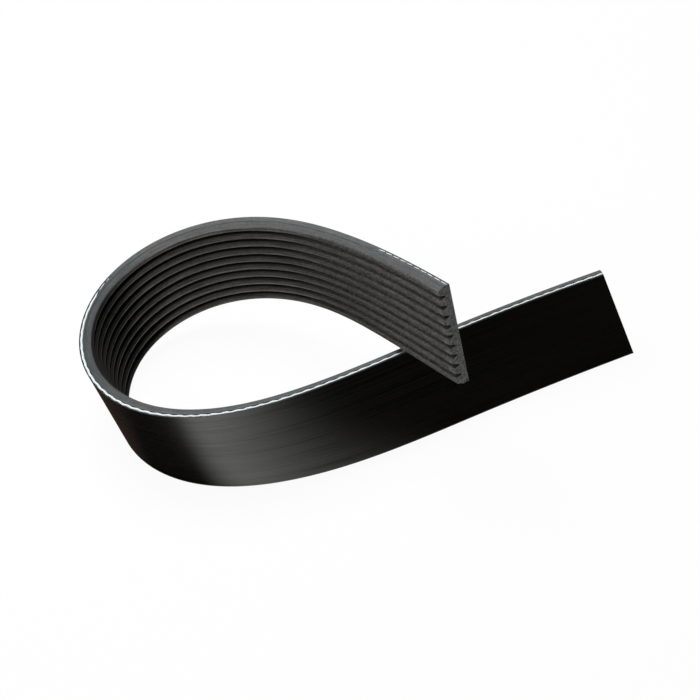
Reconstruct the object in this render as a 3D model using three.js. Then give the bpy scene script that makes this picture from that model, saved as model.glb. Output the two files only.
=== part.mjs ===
// A cut length of multi-rib drive belt. It stands on one edge, its ribs inside the loop,
// and its ribbed end climbs over the top of its long straight end.
// Millimetres, +Z up, +X along the loop, origin on the floor under the middle of the loop.

import * as THREE from "three";

const { degToRad } = THREE.MathUtils;

// Belt section: the smooth back is at x = 0, the ribs reach to x = -thickness, y runs across the belt
const ribCount = 10;
const ribPitch = 3.56;
const ribHeight = 2.4;
const flankAngle = degToRad(20);
const valleyWidth = 0.3;
const tipRound = 0.6;
const thickness = 4.6;

// Tensile cord, laid bare along both cut edges
const cordDiameter = 0.9;
const cordDepth = 1;
const cordGap = 0.1;
const cordSides = 8;

// Lay of the belt, from the long straight end to the ribbed end
const beltLength = 400;
const endSkew = degToRad(7);
const skewReach = 40;
const crossingClearance = 2.2;
const standingShare = 0.36;
const standingLean = degToRad(-4.2);
const standingPitch = degToRad(-2.4);

// Degrees of bend and of twist in each tenth of the length, at even stations along the belt
const stations = [
  { bend: -3.2, twist: 2.8 }, // long cut end
  { bend: -3.6, twist: 0 }, // long straight strand
  { bend: 18, twist: -7.8 }, // start of the front bend
  { bend: 50, twist: -6.6 }, // front bend
  { bend: 70.5, twist: -6.2 }, // tightest, at the left
  { bend: 34.5, twist: -9.6 }, // start of the climb
  { bend: 7.2, twist: -8 }, // crossing strand
  { bend: -1.2, twist: 0.6 }, // ribbed cut end
];

// Fineness of the shapes: sections stand this far apart where the belt is straight, and nearer
// where it bends, as if each radian of bend were so much more length
const laySteps = 400;
const sectionSpacing = 11.2;
const lengthPerBend = 60;
const roundSegments = 2;

const beltWidth = ribCount * ribPitch;
const cushion = thickness - ribHeight;

const rubber = new THREE.MeshStandardMaterial({ color: 0x1b1c1d, roughness: 0.62, metalness: 0 });
const bareCord = new THREE.MeshStandardMaterial({ color: 0xd5dae3, roughness: 0.85, metalness: 0 });

// Bend or twist at a share of the length, in radians per millimetre
function rateAt(name, share) {
  const place = share * (stations.length - 1);
  const index = Math.min(Math.floor(place), stations.length - 2);
  const value = THREE.MathUtils.lerp(stations[index][name], stations[index + 1][name], place - index);
  return degToRad(value) / (beltLength / 10);
}

// Frames along the middle of the smooth back: tangent along the belt, normal out of the back,
// side across the belt. The strip only bends about its side and twists about its tangent, as a
// belt does.
function layStrip(climb) {
  const step = beltLength / laySteps;
  const frame = {
    at: 0,
    point: new THREE.Vector3(),
    tangent: new THREE.Vector3(-1, 0, 0),
    normal: new THREE.Vector3(0, -1, 0),
    side: new THREE.Vector3(0, 0, 1),
  };
  const frames = [copyFrame(frame)];
  for (let index = 0; index < laySteps; index += 1) {
    const share = (index + 0.5) / laySteps;
    const twist = rateAt("twist", share) * (share > standingShare ? climb : 1);
    const spin = frame.tangent.clone().multiplyScalar(twist);
    spin.addScaledVector(frame.side, -rateAt("bend", share));
    const angle = spin.length() * step;
    spin.normalize();
    frame.point.addScaledVector(frame.tangent, step / 2);
    for (const name of ["tangent", "normal", "side"]) {
      frame[name].applyAxisAngle(spin, angle);
    }
    frame.point.addScaledVector(frame.tangent, step / 2);
    frame.at = (index + 1) * step;
    frames.push(copyFrame(frame));
  }
  return frames;
}

function copyFrame({ at, point, tangent, normal, side }) {
  return {
    at,
    point: point.clone(),
    tangent: tangent.clone(),
    normal: normal.clone(),
    side: side.clone(),
  };
}

// Height of the crossing strand's low edge above the long strand's high edge, where the middle
// of its thickness passes over the middle of the long strand's
function crossingGap(frames) {
  const longStrand = frames.filter((frame) => frame.at < 0.45 * beltLength);
  const crossing = frames.filter((frame) => frame.at > 0.72 * beltLength);
  let nearest = { offset: Infinity, gap: 0 };
  for (const frame of crossing) {
    const edge = frame.point.clone();
    edge.addScaledVector(frame.side, -beltWidth / 2);
    edge.addScaledVector(frame.normal, -thickness / 2);
    for (const below of longStrand) {
      const away = edge.clone().sub(below.point);
      const along = Math.abs(away.dot(below.tangent));
      const offset = Math.abs(away.dot(below.normal) + thickness / 2);
      if (along < beltLength / laySteps && offset < nearest.offset) {
        nearest = { offset, gap: away.dot(below.side) - beltWidth / 2 };
      }
    }
  }
  return nearest.gap;
}

// The climb that clears the crossing, found between a strip that doesn't climb and one that
// climbs far too high
function clearedClimb() {
  let low = 0.2;
  let high = 2.5;
  for (let round = 0; round < 24; round += 1) {
    const middle = (low + high) / 2;
    if (crossingGap(layStrip(middle)) < crossingClearance) {
      low = middle;
    } else {
      high = middle;
    }
  }
  return high;
}

// Turns the strip so that it stands on its low edge, the frame at the standing station being
// nearly upright, then sets it on the floor with the origin under its middle
function standStrip(frames) {
  const upright = frames[Math.round(standingShare * laySteps)];
  const found = new THREE.Matrix4().makeBasis(upright.tangent, upright.normal, upright.side);
  const wanted = new THREE.Matrix4().makeBasis(
    new THREE.Vector3(-1, 0, 0),
    new THREE.Vector3(0, -1, 0),
    new THREE.Vector3(0, 0, 1),
  );
  const turn = new THREE.Matrix4().makeRotationY(standingPitch);
  turn.multiply(new THREE.Matrix4().makeRotationX(standingLean));
  turn.multiply(wanted).multiply(found.invert());
  for (const frame of frames) {
    frame.point.applyMatrix4(turn);
    frame.tangent.transformDirection(turn);
    frame.normal.transformDirection(turn);
    frame.side.transformDirection(turn);
  }
  return frames;
}

// The slanted cut at the long end: the sections lean along the belt there, and less and less
// over the next stretch
function slantedSide(frame) {
  const share = Math.max(0, 1 - frame.at / skewReach);
  return frame.side.clone().addScaledVector(frame.tangent, Math.tan(endSkew) * share);
}

// The strip as an extrusion path. Its sections stand closer together where it bends more.
class StripPath extends THREE.Curve {
  constructor(frames, inset) {
    super();
    this.frames = frames;
    this.inset = inset;
    this.measure = [0];
    for (let index = 1; index < frames.length; index += 1) {
      const length = frames[index].at - frames[index - 1].at;
      const turned = frames[index].tangent.angleTo(frames[index - 1].tangent);
      this.measure.push(this.measure[index - 1] + length + lengthPerBend * turned);
    }
    this.sections = Math.round(this.measure[this.measure.length - 1] / sectionSpacing);
  }

  frameAt(share) {
    const wanted = share * this.measure[this.measure.length - 1];
    const after = Math.max(1, this.measure.findIndex((value) => value >= wanted - 1e-9));
    const before = after - 1;
    const mix = (wanted - this.measure[before]) / (this.measure[after] - this.measure[before]);
    const [a, b] = [this.frames[before], this.frames[after]];
    return {
      at: THREE.MathUtils.lerp(a.at, b.at, mix),
      point: a.point.clone().lerp(b.point, mix),
      tangent: a.tangent.clone().lerp(b.tangent, mix).normalize(),
      normal: a.normal.clone().lerp(b.normal, mix).normalize(),
      side: a.side.clone().lerp(b.side, mix).normalize(),
    };
  }

  getPoint(share) {
    const frame = this.frameAt(share);
    const point = frame.point.clone().addScaledVector(frame.normal, -this.inset.depth);
    return point.addScaledVector(slantedSide(frame), this.inset.across);
  }

  getSpacedPoints(divisions) {
    return Array.from({ length: divisions + 1 }, (_, index) => this.getPoint(index / divisions));
  }

  computeFrenetFrames(divisions) {
    const frames = Array.from({ length: divisions + 1 }, (_, index) => this.frameAt(index / divisions));
    return {
      tangents: frames.map((frame) => frame.tangent),
      normals: frames.map((frame) => frame.normal),
      binormals: frames.map(slantedSide),
    };
  }
}

// The belt's section, drawn from the back's low corner and up the smooth back. The outermost
// valleys are cut through at their middle, which leaves a narrow ledge at each edge.
function beltSection() {
  const half = beltWidth / 2;
  const flankRun = ribHeight * Math.tan(flankAngle);
  const section = new THREE.Shape();
  section.moveTo(0, -half);
  section.lineTo(0, half);
  addCordGroove(section, half, 1);
  section.lineTo(-cushion, half);
  for (let rib = ribCount - 1; rib >= 0; rib -= 1) {
    const valleyAbove = (rib + 1) * ribPitch - half - valleyWidth / 2;
    const valleyBelow = rib * ribPitch - half + valleyWidth / 2;
    const tipAbove = valleyAbove - flankRun;
    const tipBelow = valleyBelow + flankRun;
    const roundRun = tipRound * Math.sin(flankAngle);
    const roundRise = tipRound * Math.cos(flankAngle);
    section.lineTo(-cushion, valleyAbove);
    section.lineTo(-thickness + roundRise, tipAbove + roundRun);
    section.quadraticCurveTo(-thickness, tipAbove, -thickness, tipAbove - tipRound);
    section.lineTo(-thickness, tipBelow + tipRound);
    section.quadraticCurveTo(-thickness, tipBelow, -thickness + roundRise, tipBelow - roundRun);
    section.lineTo(-cushion, valleyBelow);
  }
  section.lineTo(-cushion, -half);
  addCordGroove(section, -half, -1);
  section.closePath();
  return section;
}

// A groove in a cut edge, round at the bottom, that takes the whole thickness of the cord
function addCordGroove(section, edge, outward) {
  const radius = cordDiameter / 2 + cordGap;
  const corner = radius * Math.tan(Math.PI / 8);
  const axis = edge - outward * cordDiameter / 2;
  section.lineTo(-cordDepth + outward * radius, edge);
  section.lineTo(-cordDepth + outward * radius, axis - outward * corner);
  section.lineTo(-cordDepth + outward * corner, axis - outward * radius);
  section.lineTo(-cordDepth - outward * corner, axis - outward * radius);
  section.lineTo(-cordDepth - outward * radius, axis - outward * corner);
  section.lineTo(-cordDepth - outward * radius, edge);
}

function makeBelt(frames) {
  const path = new StripPath(frames, { depth: 0, across: 0 });
  const options = { steps: path.sections, curveSegments: roundSegments, extrudePath: path };
  const mesh = new THREE.Mesh(new THREE.ExtrudeGeometry(beltSection(), options), rubber);
  mesh.name = "belt_body";
  return mesh;
}

function makeEdgeCord(frames, name, edgeSide) {
  const radius = cordDiameter / 2;
  const points = Array.from({ length: cordSides }, (_, index) => {
    const angle = (index + 0.5) / cordSides * 2 * Math.PI;
    return new THREE.Vector2(radius * Math.cos(angle), radius * Math.sin(angle));
  });
  const across = edgeSide * (beltWidth / 2 - radius);
  const path = new StripPath(frames, { depth: cordDepth, across });
  const options = { steps: path.sections, extrudePath: path };
  const geometry = new THREE.ExtrudeGeometry(new THREE.Shape(points), options);
  const mesh = new THREE.Mesh(geometry, bareCord);
  mesh.name = name;
  return mesh;
}

const frames = standStrip(layStrip(clearedClimb()));
const belt = new THREE.Group();
belt.add(makeBelt(frames));
belt.add(makeEdgeCord(frames, "edge_cord_upper", 1));
belt.add(makeEdgeCord(frames, "edge_cord_lower", -1));

const box = new THREE.Box3().setFromObject(belt, true);
const middle = box.getCenter(new THREE.Vector3());
belt.position.set(-middle.x, -middle.y, -box.min.z);

export default belt;
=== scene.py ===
import math

import bpy
import numpy as np
from bpy.props import FloatProperty, FloatVectorProperty, IntProperty, PointerProperty
from mathutils import Matrix, Vector


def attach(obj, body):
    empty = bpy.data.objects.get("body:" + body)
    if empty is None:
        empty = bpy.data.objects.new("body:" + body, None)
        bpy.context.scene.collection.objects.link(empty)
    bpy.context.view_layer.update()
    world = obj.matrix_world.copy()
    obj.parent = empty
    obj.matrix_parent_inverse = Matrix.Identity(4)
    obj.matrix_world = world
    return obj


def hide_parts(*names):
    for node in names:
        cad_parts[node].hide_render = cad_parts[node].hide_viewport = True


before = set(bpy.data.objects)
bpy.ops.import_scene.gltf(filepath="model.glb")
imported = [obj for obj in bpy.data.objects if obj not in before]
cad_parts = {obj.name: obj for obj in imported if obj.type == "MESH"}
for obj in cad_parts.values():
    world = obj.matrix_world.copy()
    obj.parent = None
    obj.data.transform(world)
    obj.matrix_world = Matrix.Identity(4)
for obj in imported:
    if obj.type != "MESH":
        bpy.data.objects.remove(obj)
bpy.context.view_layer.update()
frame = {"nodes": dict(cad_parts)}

bl_info = {
    "name": "Serpentine Belt",
    "version": (1, 0, 0),
    "blender": (4, 5, 0),
    "location": "View3D > Sidebar > Belt",
    "description": "Makes a cut length of multi-rib drive belt: rubber body, tensile cord and stage",
    "category": "Object",
}

# Lay of the belt: degrees of bend and of twist in each tenth of its length, at even stations
# from the long cut end, round the loop, to the ribbed cut end
BENDS = (-3.2, -3.6, 18, 50, 70.5, 34.5, 7.2, -1.2)
TWISTS = (2.8, 0, -7.8, -6.6, -6.2, -9.6, -8, 0.6)

# Share of the length at which the belt stands on its edge, and its small lean and pitch there
STANDING_STATION = 0.36
STANDING_LEAN = math.radians(-4.2)
STANDING_PITCH = math.radians(-2.4)

# Factor on the twist past that station, which lifts the ribbed end clear over the long end
CLIMB = 1.00057

# Middle of the back at the long cut end, in metres
START = (0.0888749, 0.0191757, 0.0178458)

# Steps along the belt for the rubber and for the finely wound cord, and sides of the cord's tube
BODY_ROWS = 500
CORD_ROWS = 1600
CORD_SIDES = 12

# Metres to one unit of the belt's UV map
CHART_UNIT = 0.1

# Shares of the length between which the rubber closes over the upper cord, the row of dashes
# past there ends, the cord itself sinks, and cord and dashes come back near the ribbed end
GROOVE_CLOSES = (0.567, 0.5775)
DASHES_END = (0.5945, 0.5975)
CORD_SINKS = (0.594, 0.598)
CORD_RETURNS = (0.893, 0.9)

# How far the groove is open where the cord shows as dashes, and how deep the hidden cord sinks
DASH_OPENING = 0.04
CORD_SUNK = 0.0003

# Steps of the roundings at the section's corners and at the rib tips
EDGE_STEPS = 2
TIP_STEPS = 4

# Tones of the rubber as painted shade, from 0 dark to 1 pale: the inner corner of the upper cut
# edge, the foot of the outermost ribs, and the upper corner of each rib's tip
CUSHION_TONE = 0.85
FOOT_TONE = 0.75
TIP_TONE = 0.68

# Shares of the length at which painted shade darkens the belt round the left of the loop and it is
# plain again, and at which painted light makes the valleys pale towards the ribbed end and half of
# it is lost at the cut, which leaves painted shadow at the valley ends
LEFT_SHADE_STARTS = (0.4, 0.5)
LEFT_SHADE_ENDS = (0.56, 0.64)
PAINTED_LIGHT_STARTS = (0.72, 0.88)
PAINTED_LIGHT_HALVED = (0.99, 0.996)

# Tone that the ribs and the cut edge lose at the left of the loop, as painted shade
LEFT_RIB_SHADE = 0.33
LEFT_EDGE_SHADE = 0.62

# Tones near the ribbed end, painted light and shade that evens out the ribs' own shading: the
# valleys, and the upper and lower corners of the rib tips
END_PAINTED_TONES = (1, 0.62, 0.65)

# Relief of the cord's plies as a share of its radius, and what it gains where the dashes begin
PLY_RELIEF = 0.08
DASH_RELIEF = 0.023
RELIEF_GROWS = (0.56, 0.575)

# How far the cord sways, as a share of its full sway, at shares of the belt's length
SWAY_SHARES = (0.4, 0.5, 0.88, 0.9)
SWAY_LEVELS = (1, 0.5, 0.5, 0.35)

# Stage, in metres: the floor's half width and drop, the softboxes, and the point they face
FLOOR_REACH = 3.0
FLOOR_DROP = 0.0002
SOFTBOX_DISTANCE = 0.7
SOFTBOX_SIZE = 0.3
SOFTBOX_AIM = (0, 0, 0.04)

# Material zones of the rubber body
BACK, CUT_EDGE, RIBS, CUT_FACE = range(4)


def small_length(name, description, default):
    """A property for a length in metres, shown to a hundredth of a millimetre."""
    return FloatProperty(name=name, description=description, default=default, unit="LENGTH", precision=5)


def plain_colour(name, description, default):
    """A property for a colour."""
    return FloatVectorProperty(
        name=name, description=description, default=default, subtype="COLOR", min=0, max=1
    )


class BeltSizes(bpy.types.PropertyGroup):
    """Sizes of the belt and of its tensile cord"""

    length: FloatProperty(
        name="Length",
        description="Length of the cut piece along its smooth back",
        default=0.4,
        unit="LENGTH",
    )
    rib_count: IntProperty(
        name="Ribs",
        description="Number of V ribs across the belt",
        default=10,
        min=2,
    )
    rib_pitch: small_length("Rib Pitch", "Distance from one rib to the next", 0.00356)
    rib_height: small_length("Rib Height", "Height of a rib above the valleys beside it", 0.0024)
    flank_angle: FloatProperty(
        name="Flank Angle",
        description="Lean of each rib flank",
        default=math.radians(20),
        subtype="ANGLE",
    )
    valley_width: small_length("Valley Width", "Width of the narrow floor between two ribs", 0.0003)
    tip_round: small_length("Tip Round", "Reach of the rounding at each corner of a rib tip", 0.0006)
    edge_round: small_length(
        "Edge Round", "Reach of the rounding at the other corners of the section", 0.00012
    )
    worn_edge: small_length("Worn Edge", "Width of the dull strip along both edges of the back", 0.0006)
    thickness: small_length("Thickness", "Belt thickness from the smooth back to the rib tips", 0.0046)
    end_skew: FloatProperty(
        name="End Skew",
        description="Slant of the cut across the long end",
        default=math.radians(7),
        subtype="ANGLE",
    )
    skew_reach: FloatProperty(
        name="Skew Reach",
        description="Length over which the sections turn square again",
        default=0.04,
        unit="LENGTH",
    )
    cord_diameter: small_length("Cord Diameter", "Diameter of the tensile cord", 0.0009)
    cord_depth: small_length("Cord Depth", "Depth of the cord's axis below the smooth back", 0.0008)
    cord_gap: small_length("Cord Gap", "Gap between the bare cord and the wall of its groove", 0.0001)
    cord_lay: small_length("Cord Lay", "Length of one full turn of the cord's two plies", 0.008)
    cord_pitch: small_length(
        "Cord Pitch", "Distance across the belt from one turn of the cord to the next", 0.00105
    )


class BeltColours(bpy.types.PropertyGroup):
    """Colours of the rubber and the cord"""

    back: plain_colour("Back", "Smooth back rubber", (0.0088, 0.0075, 0.0054))
    bloom: plain_colour("Bloom", "Faint brown bloom on the smooth back", (0.012, 0.005, 0.0035))
    worn: plain_colour("Worn Edge", "Dull strip along both edges of the back", (0.09, 0.1, 0.1))
    lip: plain_colour(
        "Lip", "Dull lip of the cut edge between the cord and the back", (0.048, 0.06, 0.063)
    )
    edge: plain_colour("Cut Edge", "Fibre-filled rubber where the edge was cut", (0.137, 0.137, 0.136))
    ribs: plain_colour("Ribs", "Ground rubber of the ribs", (0.3, 0.289, 0.271))
    # Valleys: partly darker rubber and partly painted shade between the ribs
    valley: plain_colour("Valleys", "Dark rubber between the ribs", (0.005, 0.0045, 0.004))
    face: plain_colour("Cut Face", "Rubber on the two cut ends", (0.255, 0.26, 0.25))
    cord: plain_colour("Cord", "Bare polyester cord", (0.9, 0.97, 0.98))


class StageSettings(bpy.types.PropertyGroup):
    """Camera and lamps"""

    azimuth: FloatProperty(
        name="Azimuth",
        description="Camera direction round the belt",
        default=math.radians(18.0),
        subtype="ANGLE",
    )
    elevation: FloatProperty(
        name="Elevation",
        description="Camera height above the floor's plane",
        default=math.radians(49.55),
        subtype="ANGLE",
    )
    roll: FloatProperty(
        name="Roll",
        description="Turn of the camera about its own axis",
        default=math.radians(15.2),
        subtype="ANGLE",
    )
    distance: FloatProperty(
        name="Distance",
        description="Distance from the camera to the point it looks at",
        default=0.9976,
        unit="LENGTH",
    )
    look_at: FloatVectorProperty(
        name="Look At",
        description="Point that the camera looks at",
        subtype="XYZ",
        default=(0.0025, -0.0077, 0.0351),
    )
    lens: FloatProperty(
        name="Lens",
        description="Focal length on a 36 mm sensor",
        default=154.29,
        unit="CAMERA",
    )
    key_power: FloatProperty(
        name="Key Power",
        description="Power of the overhead softbox",
        default=4.6,
        subtype="POWER",
    )
    fill_power: FloatProperty(
        name="Fill Power",
        description="Power of the weak softbox in front",
        default=0.8,
        subtype="POWER",
    )
    room: FloatProperty(
        name="Room Light",
        description="Strength of the even light from all round",
        default=0.04,
    )


def sizes():
    """The belt's sizes as they are set in the scene."""
    return bpy.context.scene.belt_sizes


def colours():
    """The belt's colours as they are set in the scene."""
    return bpy.context.scene.belt_colours


def stage_settings():
    """The camera and lamps as they are set in the scene."""
    return bpy.context.scene.belt_stage


def rates(values, share, length):
    """Bend or twist in radians per metre at each share of the length, straight between stations."""
    tenth = length / 10
    stations = np.linspace(0, 1, len(values))
    return np.radians(np.interp(share, stations, values)) / tenth


def turned_axes(axes, spin):
    """Rows turned about the spin vector by its length: v cos a + (u x v) sin a + u (u.v)(1 - cos a)."""
    angle = np.linalg.norm(spin)
    about = spin / angle
    along = np.outer(axes @ about, about)
    return axes * math.cos(angle) + np.cross(about, axes) * math.sin(angle) + along * (1 - math.cos(angle))


def strip_frames(count):
    """Points and frames (tangent, outward normal, side) along the middle of the smooth back.

    The strip turns about its side axis by the bend and about its own tangent by the twist, and
    moves half a step before and half a step after each turn. Then the whole strip is turned
    until the frame at the standing station has its small lean and pitch.
    """
    length = sizes().length
    step = length / count
    share = (np.arange(count) + 0.5) / count
    bend = rates(BENDS, share, length)
    twist = rates(TWISTS, share, length) * np.where(share > STANDING_STATION, CLIMB, 1)
    axes = np.diag([-1.0, -1.0, 1.0])
    point = np.zeros(3)
    points = [point]
    frames = [axes]
    for here in range(count):
        turned = turned_axes(axes, (axes[0] * twist[here] - axes[2] * bend[here]) * step)
        point = point + (axes[0] + turned[0]) * step / 2
        axes = turned
        points.append(point)
        frames.append(axes)
    points = np.array(points)
    frames = np.array(frames)
    upright = frames[round(STANDING_STATION * count)]
    lean = np.array(Matrix.Rotation(STANDING_LEAN, 3, "X"))
    pitch = np.array(Matrix.Rotation(STANDING_PITCH, 3, "Y"))
    turn = pitch @ lean @ np.diag([-1.0, -1.0, 1.0]) @ upright
    return points @ turn.T + np.array(START), frames @ turn.T


def slanted_sides(frames):
    """Side axes that lean along the belt near the long end, where the cut is slanted."""
    length = sizes().length
    at = np.linspace(0, length, len(frames))
    share = np.clip(1 - at / sizes().skew_reach, 0, None)
    return frames[:, 2] + frames[:, 0] * (math.tan(sizes().end_skew) * share)[:, None]


def carried(points, frames, depth, across):
    """Surface points: along the strip, then depth below the back and distance across the belt.

    depth and across are either one profile for all stations or one row for each station.
    """
    shape = (len(frames), np.shape(depth)[-1])
    inward = frames[:, 1][:, None, :] * np.broadcast_to(depth, shape)[..., None]
    sideways = slanted_sides(frames)[:, None, :] * np.broadcast_to(across, shape)[..., None]
    return points[:, None, :] - inward + sideways


def smooth_step(value, low, high):
    """0 below low, 1 above high, and 3t^2 - 2t^3 between them."""
    share = np.clip((value - low) / (high - low), 0, 1)
    return share * share * (3 - 2 * share)


def bare_share(share):
    """How far the upper groove is open at each share of the length, from 0 to 1.

    It is fully open from the long end to the left of the loop. There, and near the ribbed end,
    it is open so little that the cord shows as a row of dashes, and between them it is closed.
    """
    dashes = 1 - smooth_step(share, *DASHES_END) + smooth_step(share, *CORD_RETURNS)
    return np.maximum(1 - smooth_step(share, *GROOVE_CLOSES), DASH_OPENING * dashes)


def section_corners():
    """Corners of the belt's section: depth, across, rounding, steps of it, zone, in the upper groove, tone.

    The zone is that of the line that starts at the corner. The corners run up the back, over the
    upper edge, down the ribs and back over the lower edge. On each side a rib's tip is narrower
    than its foot by the rib's height times the tangent of the flank angle. The tone is 1 on the
    back, on the cut edges and at the lower corner of each tip, a little less at its upper corner
    as painted shade, less at the inner corner of the upper cut edge and the foot of the outermost
    ribs as painted shade, and 0 in the valleys, at the worn edges of the back and on the lip beside
    the cord. The valleys' 0 is partly darker rubber and partly painted shade.
    """
    belt = sizes()
    half = belt.rib_count * belt.rib_pitch / 2
    cushion = belt.thickness - belt.rib_height
    flank = belt.rib_height * math.tan(belt.flank_angle)
    worn = half - belt.worn_edge
    corners = [
        (0, -half, belt.edge_round, EDGE_STEPS, BACK, False, 0),
        (0, -worn, 0, 0, BACK, False, 1),
        (0, worn, 0, 0, BACK, False, 1),
        (0, half, belt.edge_round, EDGE_STEPS, CUT_EDGE, False, 0),
    ]
    corners += groove_corners(half, 1)
    corners.append((cushion, half, 0, 0, CUT_EDGE, False, CUSHION_TONE))
    for rib in reversed(range(belt.rib_count)):
        above = (rib + 1) * belt.rib_pitch - half - belt.valley_width / 2
        below = rib * belt.rib_pitch - half + belt.valley_width / 2
        first = rib == belt.rib_count - 1
        last = rib == 0
        first_zone = CUT_EDGE if first else RIBS
        last_zone = CUT_EDGE if last else RIBS
        corners.append((cushion, above, belt.edge_round, EDGE_STEPS, first_zone, False, FOOT_TONE * first))
        corners.append((belt.thickness, above - flank, belt.tip_round, TIP_STEPS, RIBS, False, TIP_TONE))
        corners.append((belt.thickness, below + flank, belt.tip_round, TIP_STEPS, last_zone, False, 1))
        corners.append((cushion, below, belt.edge_round, EDGE_STEPS, last_zone, False, FOOT_TONE * last))
    corners.append((cushion, -half, 0, 0, CUT_EDGE, False, 1))
    corners += groove_corners(-half, -1)
    return corners


def groove_corners(edge, outward):
    """The cord's groove in a cut edge: half an octagon round the cord's axis, with straight walls.

    Its radius is the cord's plus the gap. The tone is 1 on the side of the ribs and 0 on the
    side of the back.
    """
    belt = sizes()
    radius = belt.cord_diameter / 2 + belt.cord_gap
    corner = radius * math.tan(math.pi / 8)
    axis = edge - outward * belt.cord_diameter / 2
    places = (
        (-outward * radius, edge),
        (-outward * radius, axis - outward * corner),
        (-outward * corner, axis - outward * radius),
        (outward * corner, axis - outward * radius),
        (outward * radius, axis - outward * corner),
        (outward * radius, edge),
    )
    return [
        (belt.cord_depth + depth, across, 0, 0, CUT_EDGE, outward > 0, float(depth > 0))
        for depth, across in places
    ]


class Section:
    """The section's points, zones, tones and outward directions, with each corner rounded.

    A rounded corner is the curve (1-t)^2 A + 2t(1-t) C + t^2 B, where A and B lie on the two
    lines beside the corner C, at its rounding or at 40% of the shorter line. Outward is the way
    of travel turned a quarter round: that of the line or curve that arrives at a point, and that
    of the one that leaves it.
    """

    def __init__(self):
        corners = section_corners()
        place = np.array([corner[:2] for corner in corners])
        before = np.roll(place, 1, axis=0) - place
        after = np.roll(place, -1, axis=0) - place
        before_length = np.linalg.norm(before, axis=1)[:, None]
        after_length = np.linalg.norm(after, axis=1)[:, None]
        rounding = np.array([corner[2] for corner in corners])[:, None]
        reach = np.minimum(rounding, 0.4 * np.minimum(before_length, after_length))
        first = place + before / before_length * reach
        last = place + after / after_length * reach
        points, arriving, leaving, zones, grooves, tones = [], [], [], [], [], []
        for index, (_, _, _, steps, zone, in_groove, tone) in enumerate(corners):
            t = np.linspace(0, 1, steps + 1)[:, None]
            curve = (1 - t) ** 2 * first[index] + 2 * t * (1 - t) * place[index] + t**2 * last[index]
            travel = (1 - t) * -before[index] / before_length[index] + t * after[index] / after_length[index]
            points.append(curve)
            arriving.append(travel if steps else -before[index][None])
            leaving.append(travel if steps else after[index][None])
            zones += [zone] * len(t)
            grooves += [in_groove] * len(t)
            tones += [tone] * len(t)
        points = np.concatenate(points)
        self.depth, self.across = points.T
        self.arriving = quarter_turned(np.concatenate(arriving))
        self.leaving = quarter_turned(np.concatenate(leaving))
        self.zone = np.array(zones)
        self.groove = np.array(grooves)
        self.tone = np.array(tones, dtype=float)
        gap = np.linalg.norm(np.roll(points, -1, axis=0) - points, axis=1)
        self.arc = np.concatenate([[0], np.cumsum(gap)])


def quarter_turned(travel):
    """Unit directions a quarter turn from the way of travel, out of the section."""
    outward = np.stack([-travel[:, 1], travel[:, 0]], axis=-1)
    return outward / np.linalg.norm(outward, axis=1)[:, None]


def grid_faces(rows, columns):
    """Quads between neighbouring rows of a grid whose columns close into a loop."""
    here = np.arange(rows - 1)[:, None] * columns + np.arange(columns)[None, :]
    beside = np.arange(rows - 1)[:, None] * columns + (np.arange(columns)[None, :] + 1) % columns
    return np.stack([here, beside, beside + columns, here + columns], axis=-1).reshape(-1, 4)


def mesh_piece(name, vertices, steps, columns, chart, tone):
    """A closed tube: a grid's points, the quads between its rows, and a face at each end.

    chart gives a UV for each face corner, and tone a value from 0 dark to 1 pale for each point.
    """
    last = steps * columns
    ends = [list(range(columns))[::-1], list(range(last, last + columns))]
    mesh = bpy.data.meshes.new(name)
    mesh.from_pydata(vertices.tolist(), [], grid_faces(steps + 1, columns).tolist() + ends)
    layer = mesh.uv_layers.new(name="belt")
    layer.data.foreach_set("uv", np.asarray(chart, dtype=np.float32).ravel())
    shades = mesh.attributes.new(name="tone", type="FLOAT", domain="POINT")
    shades.data.foreach_set("value", np.asarray(tone, dtype=np.float32).ravel())
    mesh.validate()
    mesh.update()
    piece = bpy.data.objects.new(name, mesh)
    bpy.context.scene.collection.objects.link(piece)
    return piece


def put(tree, kind, sockets=None, **settings):
    """A new node. sockets gives each input, by name or number, a value or another node's output."""
    node = tree.nodes.new(kind)
    for name, value in settings.items():
        setattr(node, name, value)
    for name, value in (sockets or {}).items():
        if isinstance(value, bpy.types.NodeSocket):
            tree.links.new(value, node.inputs[name])
        else:
            node.inputs[name].default_value = value
    return node


def calc(tree, operation, first, second=0.0):
    """A Math node's result."""
    return put(tree, "ShaderNodeMath", {0: first, 1: second}, operation=operation).outputs[0]


def spread(tree, value, low, high, to_low=0.0, to_high=1.0):
    """A value carried smoothly from one range to another, and held at its ends."""
    sockets = {"Value": value, "From Min": low, "From Max": high, "To Min": to_low, "To Max": to_high}
    node = put(tree, "ShaderNodeMapRange", sockets, interpolation_type="SMOOTHSTEP", clamp=True)
    return node.outputs["Result"]


def product(tree, first, *others):
    """Values multiplied with each other."""
    for other in others:
        first = calc(tree, "MULTIPLY", first, other)
    return first


def weighted(tree, *parts):
    """The sum of values, each times its weight."""
    total = calc(tree, "MULTIPLY", *parts[0])
    for value, weight in parts[1:]:
        total = calc(tree, "ADD", total, calc(tree, "MULTIPLY", value, weight))
    return total


def blended(tree, share, first, second, way="MIX"):
    """Two colours mixed, or blended in another way, by a share from 0 to 1."""
    sockets = {0: share, 6: first, 7: second}
    return put(tree, "ShaderNodeMix", sockets, data_type="RGBA", blend_type=way).outputs[2]


def contrasted(tree, noise, contrast):
    """Noise spread smoothly from 0.5 less the contrast to 0.5 plus it."""
    low = calc(tree, "SUBTRACT", 0.5, contrast)
    high = calc(tree, "ADD", 0.5, contrast)
    return spread(tree, noise.outputs["Fac"], low, high)


def rgba(colour, shade=1.0):
    """A colour times a shade, with an alpha of 1."""
    return tuple(part * shade for part in colour) + (1.0,)


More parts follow.
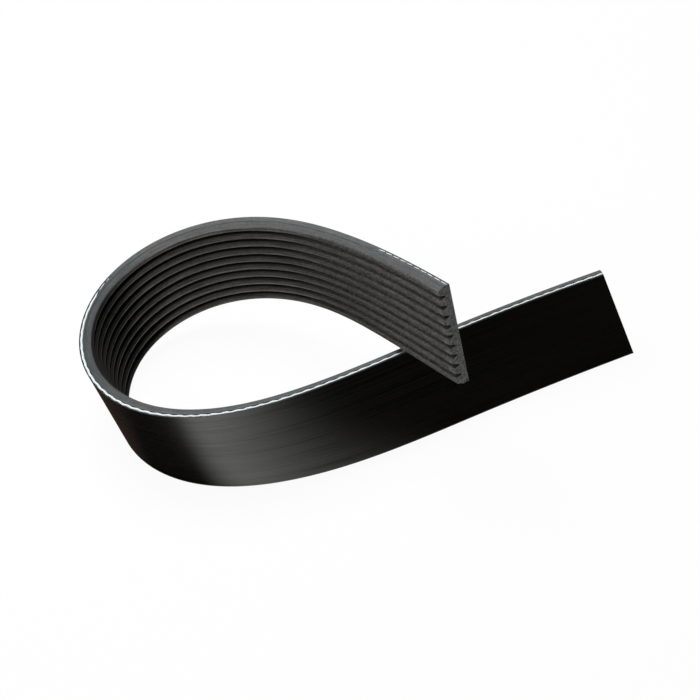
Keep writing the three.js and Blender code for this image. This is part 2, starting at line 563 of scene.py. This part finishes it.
def effect(name, inputs, outputs):
    """A new group of value or vector inputs and value outputs: its tree and its inner sockets."""
    tree = bpy.data.node_groups.new(name, "ShaderNodeTree")
    for label, kind, default in inputs:
        socket = tree.interface.new_socket(name=label, in_out="INPUT", socket_type=kind)
        if kind == "NodeSocketFloat":
            socket.default_value = default
    for label in outputs:
        tree.interface.new_socket(name=label, in_out="OUTPUT", socket_type="NodeSocketFloat")
    return tree, put(tree, "NodeGroupInput").outputs, put(tree, "NodeGroupOutput").inputs


def grain_effect():
    """Fine rough grain of worn rubber: fractal noise of a given size."""
    tree, given, result = effect(
        "rubber grain",
        (("Vector", "NodeSocketVector", None), ("Size", "NodeSocketFloat", 0.001)),
        ("Height",),
    )
    scale = calc(tree, "DIVIDE", 1.0, given["Size"])
    noise = put(
        tree,
        "ShaderNodeTexNoise",
        {"Vector": given["Vector"], "Scale": scale, "Detail": 4.0, "Roughness": 0.65},
    )
    tree.links.new(noise.outputs["Fac"], result["Height"])
    return tree


def streak_effect():
    """Streaks along the belt: noise that is drawn out along the first UV axis."""
    tree, given, result = effect(
        "length streaks",
        (
            ("Vector", "NodeSocketVector", None),
            ("Along", "NodeSocketFloat", 0.05),
            ("Across", "NodeSocketFloat", 0.0005),
            ("Contrast", "NodeSocketFloat", 0.2),
        ),
        ("Streak",),
    )
    across = calc(tree, "DIVIDE", 1.0, given["Across"])
    along = calc(tree, "DIVIDE", 1.0, given["Along"])
    size = put(tree, "ShaderNodeCombineXYZ", {0: along, 1: across, 2: 0.0}).outputs[0]
    drawn = put(tree, "ShaderNodeVectorMath", {0: given["Vector"], 1: size}, operation="MULTIPLY")
    noise = put(
        tree,
        "ShaderNodeTexNoise",
        {"Vector": drawn.outputs[0], "Scale": 1.0, "Detail": 3.0, "Roughness": 0.6},
    )
    tree.links.new(contrasted(tree, noise, given["Contrast"]), result["Streak"])
    return tree


def mottle_effect():
    """Pale cut fibres and dark pits in rubber: blotches of noise, and small cells for the pits."""
    tree, given, result = effect(
        "fibre mottle",
        (
            ("Vector", "NodeSocketVector", None),
            ("Size", "NodeSocketFloat", 0.0008),
            ("Contrast", "NodeSocketFloat", 0.15),
        ),
        ("Mottle", "Pits"),
    )
    scale = calc(tree, "DIVIDE", 1.0, given["Size"])
    noise = put(
        tree,
        "ShaderNodeTexNoise",
        {"Vector": given["Vector"], "Scale": scale, "Detail": 5.0, "Roughness": 0.7, "Distortion": 0.6},
    )
    tree.links.new(contrasted(tree, noise, given["Contrast"]), result["Mottle"])
    cells = put(
        tree,
        "ShaderNodeTexVoronoi",
        {"Vector": given["Vector"], "Scale": scale, "Randomness": 1.0},
        feature="F1",
    )
    tree.links.new(spread(tree, cells.outputs["Distance"], 0.05, 0.3, 1.0, 0.0), result["Pits"])
    return tree


def use(tree, group, **sockets):
    """A group placed in a material with its own values."""
    return put(tree, "ShaderNodeGroup", sockets, node_tree=group).outputs


def drawn_out(tree, streaks, chart, length, width, contrast):
    """Streaks of a given length and width in metres on the belt's chart."""
    return use(tree, streaks, Vector=chart, Along=length, Across=width, Contrast=contrast)["Streak"]


def empty_tree(owner):
    """The cleared node tree of a material or a world."""
    owner.use_nodes = True
    owner.node_tree.nodes.clear()
    return owner.node_tree


def new_material(name):
    """An empty material and its Principled BSDF."""
    material = bpy.data.materials.new(name)
    tree = empty_tree(material)
    shader = put(tree, "ShaderNodeBsdfPrincipled")
    put(tree, "ShaderNodeOutputMaterial", {"Surface": shader.outputs[0]})
    return material, tree, shader


def tone_of(tree):
    """The tone that the mesh carries at each point."""
    return put(tree, "ShaderNodeAttribute", attribute_name="tone").outputs["Fac"]


def belt_places(tree):
    """The belt's own UV in metres (along, round the section) and the Object coordinates."""
    chart = put(tree, "ShaderNodeUVMap", uv_map="belt").outputs[0]
    metres = put(tree, "ShaderNodeVectorMath", {0: chart, "Scale": CHART_UNIT}, operation="SCALE")
    place = put(tree, "ShaderNodeTexCoord").outputs["Object"]
    return metres.outputs[0], place


def finish(tree, shader, colour, roughness, specular, height, depth):
    """Colour, roughness and specular level of a surface, and a relief of a given depth in metres."""
    tree.links.new(colour, shader.inputs["Base Color"])
    shader.inputs["Roughness"].default_value = roughness
    shader.inputs["Specular IOR Level"].default_value = specular
    node = put(tree, "ShaderNodeBump", {"Height": height, "Distance": depth, "Strength": 1.0})
    tree.links.new(node.outputs[0], shader.inputs["Normal"])


def back_material(grain, streaks, mottle):
    """Smooth satin black rubber under a thin gloss, with a faint brown bloom.

    Thin dark lines run along the belt and are faint near the long end. Wider lines and finer
    streaks break the gloss, most of all on the long strand. The edges of the back are worn dull.
    """
    material, tree, shader = new_material("smooth back rubber")
    chart, place = belt_places(tree)
    along = put(tree, "ShaderNodeSeparateXYZ", {0: chart}).outputs[0]
    fine = drawn_out(tree, streaks, chart, length=0.06, width=0.0003, contrast=0.22)
    wide = drawn_out(tree, streaks, chart, length=0.15, width=0.0009, contrast=0.3)
    lines = spread(tree, wide, 0.2, 0.45)
    broad = drawn_out(tree, streaks, chart, length=0.2, width=0.006, contrast=0.3)
    bloom = use(tree, mottle, Vector=place, Size=0.014, Contrast=0.12)["Mottle"]
    bloom = calc(tree, "MULTIPLY", bloom, 0.3)
    colour = blended(tree, bloom, rgba(colours().back), rgba(colours().bloom))
    thin = drawn_out(tree, streaks, chart, length=0.25, width=0.0006, contrast=0.3)
    faint_lines = spread(tree, along, 0.03, 0.075, 0.65, 0.0)
    clear = calc(tree, "MAXIMUM", spread(tree, thin, 0.15, 0.45), faint_lines)
    colour = blended(tree, clear, rgba(colours().back, 0.1), colour)
    colour = blended(tree, spread(tree, tone_of(tree), 0.0, 1.0), rgba(colours().worn), colour)
    gloss_in_lines = spread(tree, along, 0.1, 0.135, 0.35, 0.86)
    gloss = product(
        tree,
        spread(tree, lines, 0.0, 1.0, gloss_in_lines, 1.0),
        spread(tree, fine, 0.0, 1.0, 0.72, 1.0),
        spread(tree, broad, 0.0, 1.0, 0.9, 1.0),
    )
    tree.links.new(gloss, shader.inputs["Coat Weight"])
    shader.inputs["Coat Roughness"].default_value = 0.27
    small = use(tree, grain, Vector=place, Size=0.0005)["Height"]
    height = weighted(tree, (fine, 0.6), (small, 0.3), (lines, 1.0))
    finish(tree, shader, colour, roughness=0.6, specular=0.1, height=height, depth=0.00002)
    return material


def edge_material(grain, mottle, streaks):
    """Cut edge: grey fibre-filled rubber, mottled by pale fibre ends and dark pits.

    It is bluish in large patches, and its lip between the cord and the back is dull. The tone also
    darkens it as painted shade at the inner corner beside the ribs, at the foot of the outermost
    ribs and round the left of the loop.
    """
    material, tree, shader = new_material("cut edge rubber")
    chart, place = belt_places(tree)
    marks = use(tree, mottle, Vector=place, Size=0.0007, Contrast=0.2)
    blotch = use(tree, mottle, Vector=place, Size=0.004, Contrast=0.25)["Mottle"]
    drawn = drawn_out(tree, streaks, chart, length=0.008, width=0.0005, contrast=0.2)
    share = weighted(tree, (marks["Mottle"], 0.4), (blotch, 0.2), (drawn, 0.4))
    colour = blended(tree, share, rgba(colours().edge, 0.45), rgba(colours().edge, 1.35))
    pits = calc(tree, "MULTIPLY", marks["Pits"], 0.3)
    colour = blended(tree, pits, colour, rgba(colours().edge, 0.3))
    patches = use(tree, mottle, Vector=place, Size=0.024, Contrast=0.1)["Mottle"]
    bluish = (0.92, 1.0, 1.04, 1.0)
    colour = blended(tree, patches, colour, bluish, "MULTIPLY")
    # The tone gives the dull lip, and painted shade at the inner corner beside the ribs, at the foot of the
    # outermost ribs and round the left of the loop
    colour = blended(tree, spread(tree, tone_of(tree), 0.0, 1.0), rgba(colours().lip), colour)
    small = use(tree, grain, Vector=place, Size=0.0004)["Height"]
    height = weighted(tree, (marks["Mottle"], 0.6), (small, 0.5))
    finish(tree, shader, colour, roughness=0.85, specular=0.25, height=height, depth=0.0001)
    return material


def rib_material(grain, mottle, streaks):
    """Ground ribs: dull grey rubber with dark valleys, partly darker rubber and partly painted shade.

    Streaks along the belt mark most of its length, and rough mottling marks its ribbed end.
    """
    material, tree, shader = new_material("ground rib rubber")
    chart, place = belt_places(tree)
    marks = use(tree, mottle, Vector=place, Size=0.0009, Contrast=0.1)
    drawn = drawn_out(tree, streaks, chart, length=0.015, width=0.0004, contrast=0.2)
    along = put(tree, "ShaderNodeSeparateXYZ", {0: chart}).outputs[0]
    rough = spread(tree, along, 0.3, 0.35, 0.25, 0.65)
    smooth = calc(tree, "SUBTRACT", 1.0, rough)
    share = weighted(tree, (marks["Mottle"], rough), (drawn, smooth))
    colour = blended(tree, share, rgba(colours().ribs, 0.35), rgba(colours().ribs, 1.4))
    # The tone mixes in the valley colour: partly darker rubber, partly painted shade in the valleys, at the
    # upper tip corners and round the left of the loop, with painted light on the valleys near the ribbed end
    colour = blended(tree, spread(tree, tone_of(tree), 0.38, 1.0), rgba(colours().valley), colour)
    small = use(tree, grain, Vector=place, Size=0.0004)["Height"]
    height = weighted(tree, (marks["Mottle"], 0.5), (small, 0.5))
    finish(tree, shader, colour, roughness=0.8, specular=0.25, height=height, depth=0.00012)
    return material


def face_material(grain, mottle):
    """Cut face: mottled grey rubber with a row of cord ends below the back.

    A cord end is a spot where the root of x^2 + y^2 is less than the cord's radius, with x the
    distance across from the nearest cord's axis and y the depth below or above it.
    """
    material, tree, shader = new_material("cut face rubber")
    chart, place = belt_places(tree)
    marks = use(tree, mottle, Vector=place, Size=0.0008, Contrast=0.12)
    colour = blended(tree, marks["Mottle"], rgba(colours().face, 0.5), rgba(colours().face, 1.35))
    depth, across, _ = put(tree, "ShaderNodeSeparateXYZ", {0: chart}).outputs
    beside = calc(tree, "PINGPONG", across, sizes().cord_pitch / 2)
    below = calc(tree, "SUBTRACT", depth, sizes().cord_depth)
    squares = calc(tree, "ADD", calc(tree, "POWER", beside, 2.0), calc(tree, "POWER", below, 2.0))
    radius = sizes().cord_diameter / 2
    spot = spread(tree, calc(tree, "SQRT", squares), radius * 0.75, radius, 1.0, 0.0)
    colour = blended(tree, calc(tree, "MULTIPLY", spot, 0.35), colour, rgba(colours().cord, 0.22))
    small = use(tree, grain, Vector=place, Size=0.0005)["Height"]
    finish(tree, shader, colour, roughness=0.8, specular=0.25, height=small, depth=0.0001)
    return material


def cord_material(grain, mottle):
    """Bare polyester cord: bluish white, greyer between the plies, with fibre grain and rubber dust."""
    material, tree, shader = new_material("bare tensile cord")
    place = put(tree, "ShaderNodeTexCoord").outputs["Object"]
    dust = use(tree, mottle, Vector=place, Size=0.0016, Contrast=0.2)["Mottle"]
    dust = calc(tree, "MULTIPLY", dust, 0.15)
    colour = blended(tree, dust, rgba(colours().cord), rgba(colours().cord, 0.5))
    colour = blended(tree, spread(tree, tone_of(tree), 0.0, 0.35), rgba(colours().cord, 0.65), colour)
    shader.inputs["Sheen Weight"].default_value = 0.15
    fibres = use(tree, grain, Vector=place, Size=0.00015)["Height"]
    finish(tree, shader, colour, roughness=0.7, specular=0.35, height=fibres, depth=0.00003)
    return material


def cord_end_material(grain):
    """Cut cord ends: grey with rubber dust."""
    material, tree, shader = new_material("cut cord end")
    place = put(tree, "ShaderNodeTexCoord").outputs["Object"]
    fine = use(tree, grain, Vector=place, Size=0.0001)["Height"]
    colour = blended(tree, fine, rgba(colours().cord, 0.06), rgba(colours().cord, 0.16))
    tree.links.new(colour, shader.inputs["Base Color"])
    shader.inputs["Roughness"].default_value = 0.8
    return material


def shared_effects():
    """The node groups of grain, streaks and mottle, each made once."""
    groups = bpy.data.node_groups
    grain = groups.get("rubber grain") or grain_effect()
    streaks = groups.get("length streaks") or streak_effect()
    mottle = groups.get("fibre mottle") or mottle_effect()
    return grain, streaks, mottle


def outward_rows(frames, outward, in_groove, open_share):
    """3-D directions for each station and section point: across b(s) - depth n(s).

    Where the groove is filled with rubber, its points face straight out of the edge.
    """
    flat = np.array([0.0, 1.0])
    filled = (in_groove[None, :] * (1 - open_share[:, None]))[..., None]
    mixed = outward[None] * (1 - filled) + flat * filled
    side = slanted_sides(frames)[:, None, :]
    found = mixed[..., 1:2] * side - mixed[..., 0:1] * frames[:, 1][:, None, :]
    return found / np.linalg.norm(found, axis=-1, keepdims=True)


def quad_starts(columns):
    """Row and column of the first corner of each of the body's quads."""
    return np.repeat(np.arange(BODY_ROWS), columns), np.tile(np.arange(columns), BODY_ROWS)


def body_chart(section, share):
    """UV of each face corner, in chart units.

    On the strip it is the length along the belt and the way round the section. On the two cut
    faces it is the depth and the place across.
    """
    along = share * sizes().length / CHART_UNIT
    around = section.arc / CHART_UNIT
    row, column = quad_starts(len(section.depth))
    corner_rows = np.stack([row, row, row + 1, row + 1], axis=-1)
    corner_columns = np.stack([column, column + 1, column + 1, column], axis=-1)
    strip = np.stack([along[corner_rows], around[corner_columns]], axis=-1).reshape(-1, 2)
    face = np.stack([section.depth, section.across], axis=-1) / CHART_UNIT
    return np.concatenate([strip, face[::-1], face])


def body_normals(section, frames, open_share):
    """Normal of each face corner: the section's own on the strip, and one for each cut face."""
    columns = len(section.depth)
    row, column = quad_starts(columns)
    beside = (column + 1) % columns
    leaving = outward_rows(frames, section.leaving, section.groove, open_share)
    arriving = outward_rows(frames, section.arriving, section.groove, open_share)
    near = [leaving[row, column], arriving[row, beside]]
    far = [arriving[row + 1, beside], leaving[row + 1, column]]
    strip = np.stack(near + far, axis=1).reshape(-1, 3)
    long_face = np.tile(-end_direction(frames[0], 1), (columns, 1))
    ribbed_face = np.tile(end_direction(frames[-1], 0), (columns, 1))
    return np.concatenate([strip, long_face, ribbed_face])


def body_tone(section, share, open_share):
    """Tone of each station and section point.

    The lip beside the upper cord is dull only where the cord is bare, and less so near the
    ribbed end. Painted shade makes the belt darker round the left of the loop. Towards the ribbed
    end painted light makes the valleys pale and the ribs less so, to even out their own shading,
    except in the last few millimetres, where the valleys darken again as painted shadow.
    """
    cushion = sizes().thickness - sizes().rib_height
    upper_lip = (section.across > 0) & (section.depth < cushion) & (section.tone < 1)
    faint = 0.3
    dull = np.where(share > LEFT_SHADE_ENDS[1], faint, 1) * np.ceil(open_share)
    tone = section.tone + (1 - section.tone) * upper_lip * (1 - dull)[:, None]
    # Painted shade round the left of the loop, on the ribs and the cut edge
    left = smooth_step(share, *LEFT_SHADE_STARTS) - smooth_step(share, *LEFT_SHADE_ENDS)
    ribs = (section.depth > cushion - sizes().edge_round) & (np.abs(section.across) < section.across.max())
    left_shade = np.select([ribs, section.depth > 0], [LEFT_RIB_SHADE, LEFT_EDGE_SHADE], 0)
    tone = tone * (1 - left[:, None] * left_shade)
    # Painted light on the valleys towards the ribbed end, halved in the last few millimetres as painted
    # shadow
    even = smooth_step(share, *PAINTED_LIGHT_STARTS) * (1 - smooth_step(share, *PAINTED_LIGHT_HALVED) / 2)
    level = np.interp(section.tone, (0, TIP_TONE, 1), END_PAINTED_TONES)
    return tone + (level - tone) * even[:, None] * ribs


def build_body():
    """The rubber body: the rounded section carried along the strip.

    A point is p(s) - depth n(s) + across b(s), with p, n and b the strip's point, outward normal
    and slanted side axis at the length s. Where the upper groove is filled, its points move out
    to the plane of the cut edge.
    """
    points, frames = strip_frames(BODY_ROWS)
    share = np.linspace(0, 1, BODY_ROWS + 1)
    section = Section()
    half = sizes().rib_count * sizes().rib_pitch / 2
    open_share = bare_share(share)
    filled = section.groove[None, :] * (1 - open_share[:, None])
    across = section.across * (1 - filled) + half * filled
    vertices = carried(points, frames, section.depth, across).reshape(-1, 3)
    chart = body_chart(section, share)
    tone = body_tone(section, share, open_share)
    piece = mesh_piece("belt", vertices, BODY_ROWS, len(section.depth), chart, tone)
    zones = np.concatenate([np.tile(section.zone, BODY_ROWS), [CUT_FACE, CUT_FACE]])
    return piece, zones, body_normals(section, frames, open_share)


def end_direction(frame, slant):
    """Direction out of a cut face: square to the strip's normal and to its side or slanted side."""
    side = frame[2] + frame[0] * math.tan(sizes().end_skew) * slant
    found = np.cross(frame[1], side)
    found = found * np.sign(found @ frame[0])
    return found / np.linalg.norm(found)


class BELT_OT_body(bpy.types.Operator):
    """Make the rubber body: smooth back, ten ribs, cut edges with the cord's groove, cut faces"""

    bl_idname = "belt.body"
    bl_label = "Rubber Body"

    def execute(self, context):
        piece, zones, normals = build_body()
        grain, streaks, mottle = shared_effects()
        mesh = piece.data
        mesh.materials.append(back_material(grain, streaks, mottle))
        mesh.materials.append(edge_material(grain, mottle, streaks))
        mesh.materials.append(rib_material(grain, mottle, streaks))
        mesh.materials.append(face_material(grain, mottle))
        mesh.polygons.foreach_set("material_index", zones.astype(np.int32))
        mesh.shade_smooth()
        mesh.normals_split_custom_set(normals.tolist())
        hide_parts("belt_body")
        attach(piece, "root")
        return {"FINISHED"}


def build_cord(name, outward):
    """Two-ply twisted cord: a tube along the strip at the cord's depth, beside the edge.

    Its radius at the angle a and the length s is R (1 - r + r |cos(a - 2 pi s / lay)|), which
    gives two rounded plies that wind round each other. The relief r is a little larger where the
    cord shows as dashes. The axis sways in depth by up to a fifth of the diameter, once in each
    half turn, and the upper cord sinks into the rubber where it is hidden. The tone is
    |cos(a - 2 pi s / lay)|: 0 between the plies.
    """
    belt = sizes()
    points, frames = strip_frames(CORD_ROWS)
    share = np.linspace(0, 1, CORD_ROWS + 1)
    angle = np.linspace(0, 2 * math.pi, CORD_SIDES, endpoint=False)
    radius = belt.cord_diameter / 2
    wound = angle[None, :] - 2 * math.pi * share[:, None] * belt.length / belt.cord_lay
    ply = np.abs(np.cos(wound))
    relief = PLY_RELIEF + DASH_RELIEF * smooth_step(share, *RELIEF_GROWS)[:, None]
    reach = radius * (1 - relief + relief * ply)
    most = np.interp(share, SWAY_SHARES, SWAY_LEVELS) * belt.cord_diameter / 5
    sway = most * np.sin(4 * math.pi * share * belt.length / belt.cord_lay)
    hidden = smooth_step(share, *CORD_SINKS) - smooth_step(share, *CORD_RETURNS)
    sunk = CORD_SUNK * hidden if outward > 0 else np.zeros(CORD_ROWS + 1)
    axis = outward * (belt.rib_count * belt.rib_pitch / 2 - radius) - outward * sunk
    depth = belt.cord_depth + sway[:, None] - reach * np.cos(angle)
    across = axis[:, None] + reach * np.sin(angle)
    vertices = carried(points, frames, depth, across).reshape(-1, 3)
    chart = np.zeros((CORD_ROWS * CORD_SIDES * 4 + 2 * CORD_SIDES, 2))
    piece = mesh_piece(name, vertices, CORD_ROWS, CORD_SIDES, chart, ply)
    piece.data.shade_smooth()
    for end in (-1, -2):
        piece.data.polygons[end].material_index = 1
    return piece


class BELT_OT_cords(bpy.types.Operator):
    """Make the tensile cord where the cut lays it bare along both edges"""

    bl_idname = "belt.cords"
    bl_label = "Edge Cords"

    def execute(self, context):
        grain, _, mottle = shared_effects()
        bare = cord_material(grain, mottle)
        cut = cord_end_material(grain)
        for name, node, outward in (
            ("cord_upper", "edge_cord_upper", 1),
            ("cord_lower", "edge_cord_lower", -1),
        ):
            piece = build_cord(name, outward)
            piece.data.materials.append(bare)
            piece.data.materials.append(cut)
            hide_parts(node)
            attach(piece, "root")
        return {"FINISHED"}


def floor_material():
    """Pale floor: near white to the camera, with the belt's soft shadow, and painted reflections in patches.

    The patches glow only for reflection rays, so they are painted reflections, not lamps or real
    cards. Reflections see a bright card before the front bend, with a sharp slanted left edge and a
    soft right edge, which paints the back's sheen there. They see a paler floor behind the belt, a
    faint warm patch beside the left of the loop, and a dim floor elsewhere. Each patch is a
    product of smooth steps in x and y, and the patches are added by their strengths.
    """
    material = bpy.data.materials.new("pale floor")
    tree = empty_tree(material)
    path = put(tree, "ShaderNodeLightPath").outputs
    place = put(tree, "ShaderNodeTexCoord").outputs["Object"]
    x, y, _ = put(tree, "ShaderNodeSeparateXYZ", {0: place}).outputs
    left_slope, right_slope = 1.18, 0.2
    past_front = calc(tree, "ADD", y, 0.0437)
    from_left = calc(tree, "SUBTRACT", x, calc(tree, "MULTIPLY", past_front, left_slope))
    from_right = calc(tree, "SUBTRACT", x, calc(tree, "MULTIPLY", y, right_slope))
    card_left = spread(tree, from_left, -0.056, -0.03)
    card_right = spread(tree, from_right, -0.043, 0.045, 1.0, 0.0)
    card = product(tree, card_left, card_right)
    behind = spread(tree, y, 0.02, 0.05)
    warm = product(
        tree,
        spread(tree, y, -0.031, -0.024),
        spread(tree, y, 0.02, 0.004),
        spread(tree, x, -0.066, -0.074),
        spread(tree, x, -0.125, -0.11),
    )
    elsewhere = 0.01
    glow = calc(tree, "ADD", weighted(tree, (card, 2.12), (behind, 0.5), (warm, 0.055)), elsewhere)
    cool_tint, warm_tint = (0.98, 1.0, 0.96, 1.0), (1.0, 0.62, 0.5, 1.0)
    tint = blended(tree, warm, cool_tint, warm_tint)
    plain = put(tree, "ShaderNodeBsdfDiffuse", {"Color": (0.9, 0.9, 0.9, 1)}).outputs[0]
    white = put(tree, "ShaderNodeEmission", {"Color": (1, 1, 1, 1), "Strength": 1.0}).outputs[0]
    whiteness = 0.95
    seen = put(tree, "ShaderNodeMixShader", {0: whiteness, 1: plain, 2: white}).outputs[0]
    # Painted reflections: glow that only reflection rays see
    mirrored = put(tree, "ShaderNodeEmission", {"Color": tint, "Strength": glow}).outputs[0]
    unseen = put(tree, "ShaderNodeMixShader", {0: path["Is Glossy Ray"], 1: plain, 2: mirrored}).outputs[0]
    final = put(tree, "ShaderNodeMixShader", {0: path["Is Camera Ray"], 1: unseen, 2: seen}).outputs[0]
    put(tree, "ShaderNodeOutputMaterial", {"Surface": final})
    return material


def add_floor():
    """A flat square under the belt."""
    corners = np.array([[-1, -1, 0], [1, -1, 0], [1, 1, 0], [-1, 1, 0]]) * FLOOR_REACH
    corners[:, 2] = -FLOOR_DROP
    mesh = bpy.data.meshes.new("floor")
    mesh.from_pydata(corners.tolist(), [], [(0, 1, 2, 3)])
    mesh.materials.append(floor_material())
    floor = bpy.data.objects.new("floor", mesh)
    bpy.context.scene.collection.objects.link(floor)


def direction(azimuth, elevation):
    """The unit vector towards an azimuth a and an elevation e: (sin a cos e, -cos a cos e, sin e)."""
    flat = math.cos(elevation)
    return Vector((math.sin(azimuth) * flat, -math.cos(azimuth) * flat, math.sin(elevation)))


def add_softbox(name, azimuth, elevation, power):
    """A square area lamp towards an azimuth and an elevation in degrees, turned to the belt."""
    lamp = bpy.data.lights.new(name, "AREA")
    lamp.shape = "SQUARE"
    lamp.size = SOFTBOX_SIZE
    lamp.energy = power
    place = direction(math.radians(azimuth), math.radians(elevation)) * SOFTBOX_DISTANCE
    holder = bpy.data.objects.new(name, lamp)
    holder.location = place
    holder.rotation_euler = (place - Vector(SOFTBOX_AIM)).to_track_quat("Z", "Y").to_euler()
    bpy.context.scene.collection.objects.link(holder)


def light_world():
    """White for the camera, an even grey for diffuse light and a dark room for reflections."""
    world = bpy.data.worlds.new("studio")
    tree = empty_tree(world)
    path = put(tree, "ShaderNodeLightPath").outputs
    even, reflected, full = stage_settings().room, 0.05, 1.0
    room, dark, white = [
        put(tree, "ShaderNodeBackground", {"Color": (1, 1, 1, 1), "Strength": strength}).outputs[0]
        for strength in (even, reflected, full)
    ]
    lit = put(tree, "ShaderNodeMixShader", {0: path["Is Glossy Ray"], 1: room, 2: dark}).outputs[0]
    final = put(tree, "ShaderNodeMixShader", {0: path["Is Camera Ray"], 1: lit, 2: white}).outputs[0]
    put(tree, "ShaderNodeOutputWorld", {"Surface": final})
    bpy.context.scene.world = world


def add_camera():
    """A camera that looks at its point from an azimuth and an elevation, then rolls.

    Its right and up axes are the level ones turned about the line of sight by the roll.
    """
    stage = stage_settings()
    roll = stage.roll
    back = direction(stage.azimuth, stage.elevation)
    level_right = (-back).cross(Vector((0, 0, 1))).normalized()
    level_up = back.cross(level_right)
    right = level_right * math.cos(roll) - level_up * math.sin(roll)
    up = level_up * math.cos(roll) + level_right * math.sin(roll)
    place = Vector(stage.look_at) + back * stage.distance
    data = bpy.data.cameras.new("camera")
    data.sensor_width = 36
    data.lens = stage.lens
    data.clip_start = 0.05
    data.clip_end = 20
    camera = bpy.data.objects.new("camera", data)
    turned = Matrix((right, up, back)).transposed().to_4x4()
    camera.matrix_world = Matrix.Translation(place) @ turned
    bpy.context.scene.collection.objects.link(camera)
    bpy.context.scene.camera = camera


class BELT_OT_stage(bpy.types.Operator):
    """Set up the pale floor, the room light, the softboxes and the camera"""

    bl_idname = "belt.stage"
    bl_label = "Stage"

    def execute(self, context):
        add_floor()
        light_world()
        add_softbox("overhead softbox", -150, 73, stage_settings().key_power)
        add_softbox("front softbox", -50, 47, stage_settings().fill_power)
        add_camera()
        context.scene.view_settings.view_transform = "Standard"
        return {"FINISHED"}


class BELT_PT_panel(bpy.types.Panel):
    """Sizes, colours and steps of the belt"""

    bl_idname = "BELT_PT_panel"
    bl_label = "Serpentine Belt"
    bl_space_type = "VIEW_3D"
    bl_region_type = "UI"
    bl_category = "Belt"

    def draw(self, context):
        layout = self.layout
        scene = context.scene
        for label, group in (
            ("Sizes", scene.belt_sizes),
            ("Colours", scene.belt_colours),
            ("Stage", scene.belt_stage),
        ):
            box = layout.box()
            box.label(text=label)
            for name in group.__annotations__:
                box.prop(group, name)
        for step in (BELT_OT_stage, BELT_OT_body, BELT_OT_cords):
            layout.operator(step.bl_idname)


CLASSES = (
    BeltSizes,
    BeltColours,
    StageSettings,
    BELT_OT_stage,
    BELT_OT_body,
    BELT_OT_cords,
    BELT_PT_panel,
)


def register():
    for item in CLASSES:
        bpy.utils.register_class(item)
    bpy.types.Scene.belt_sizes = PointerProperty(type=BeltSizes)
    bpy.types.Scene.belt_colours = PointerProperty(type=BeltColours)
    bpy.types.Scene.belt_stage = PointerProperty(type=StageSettings)


def unregister():
    del bpy.types.Scene.belt_stage
    del bpy.types.Scene.belt_colours
    del bpy.types.Scene.belt_sizes
    for item in reversed(CLASSES):
        bpy.utils.unregister_class(item)


def main():
    register()
    bpy.ops.belt.stage()
    bpy.ops.belt.body()
    bpy.ops.belt.cords()


if __name__ == "__main__":
    main()
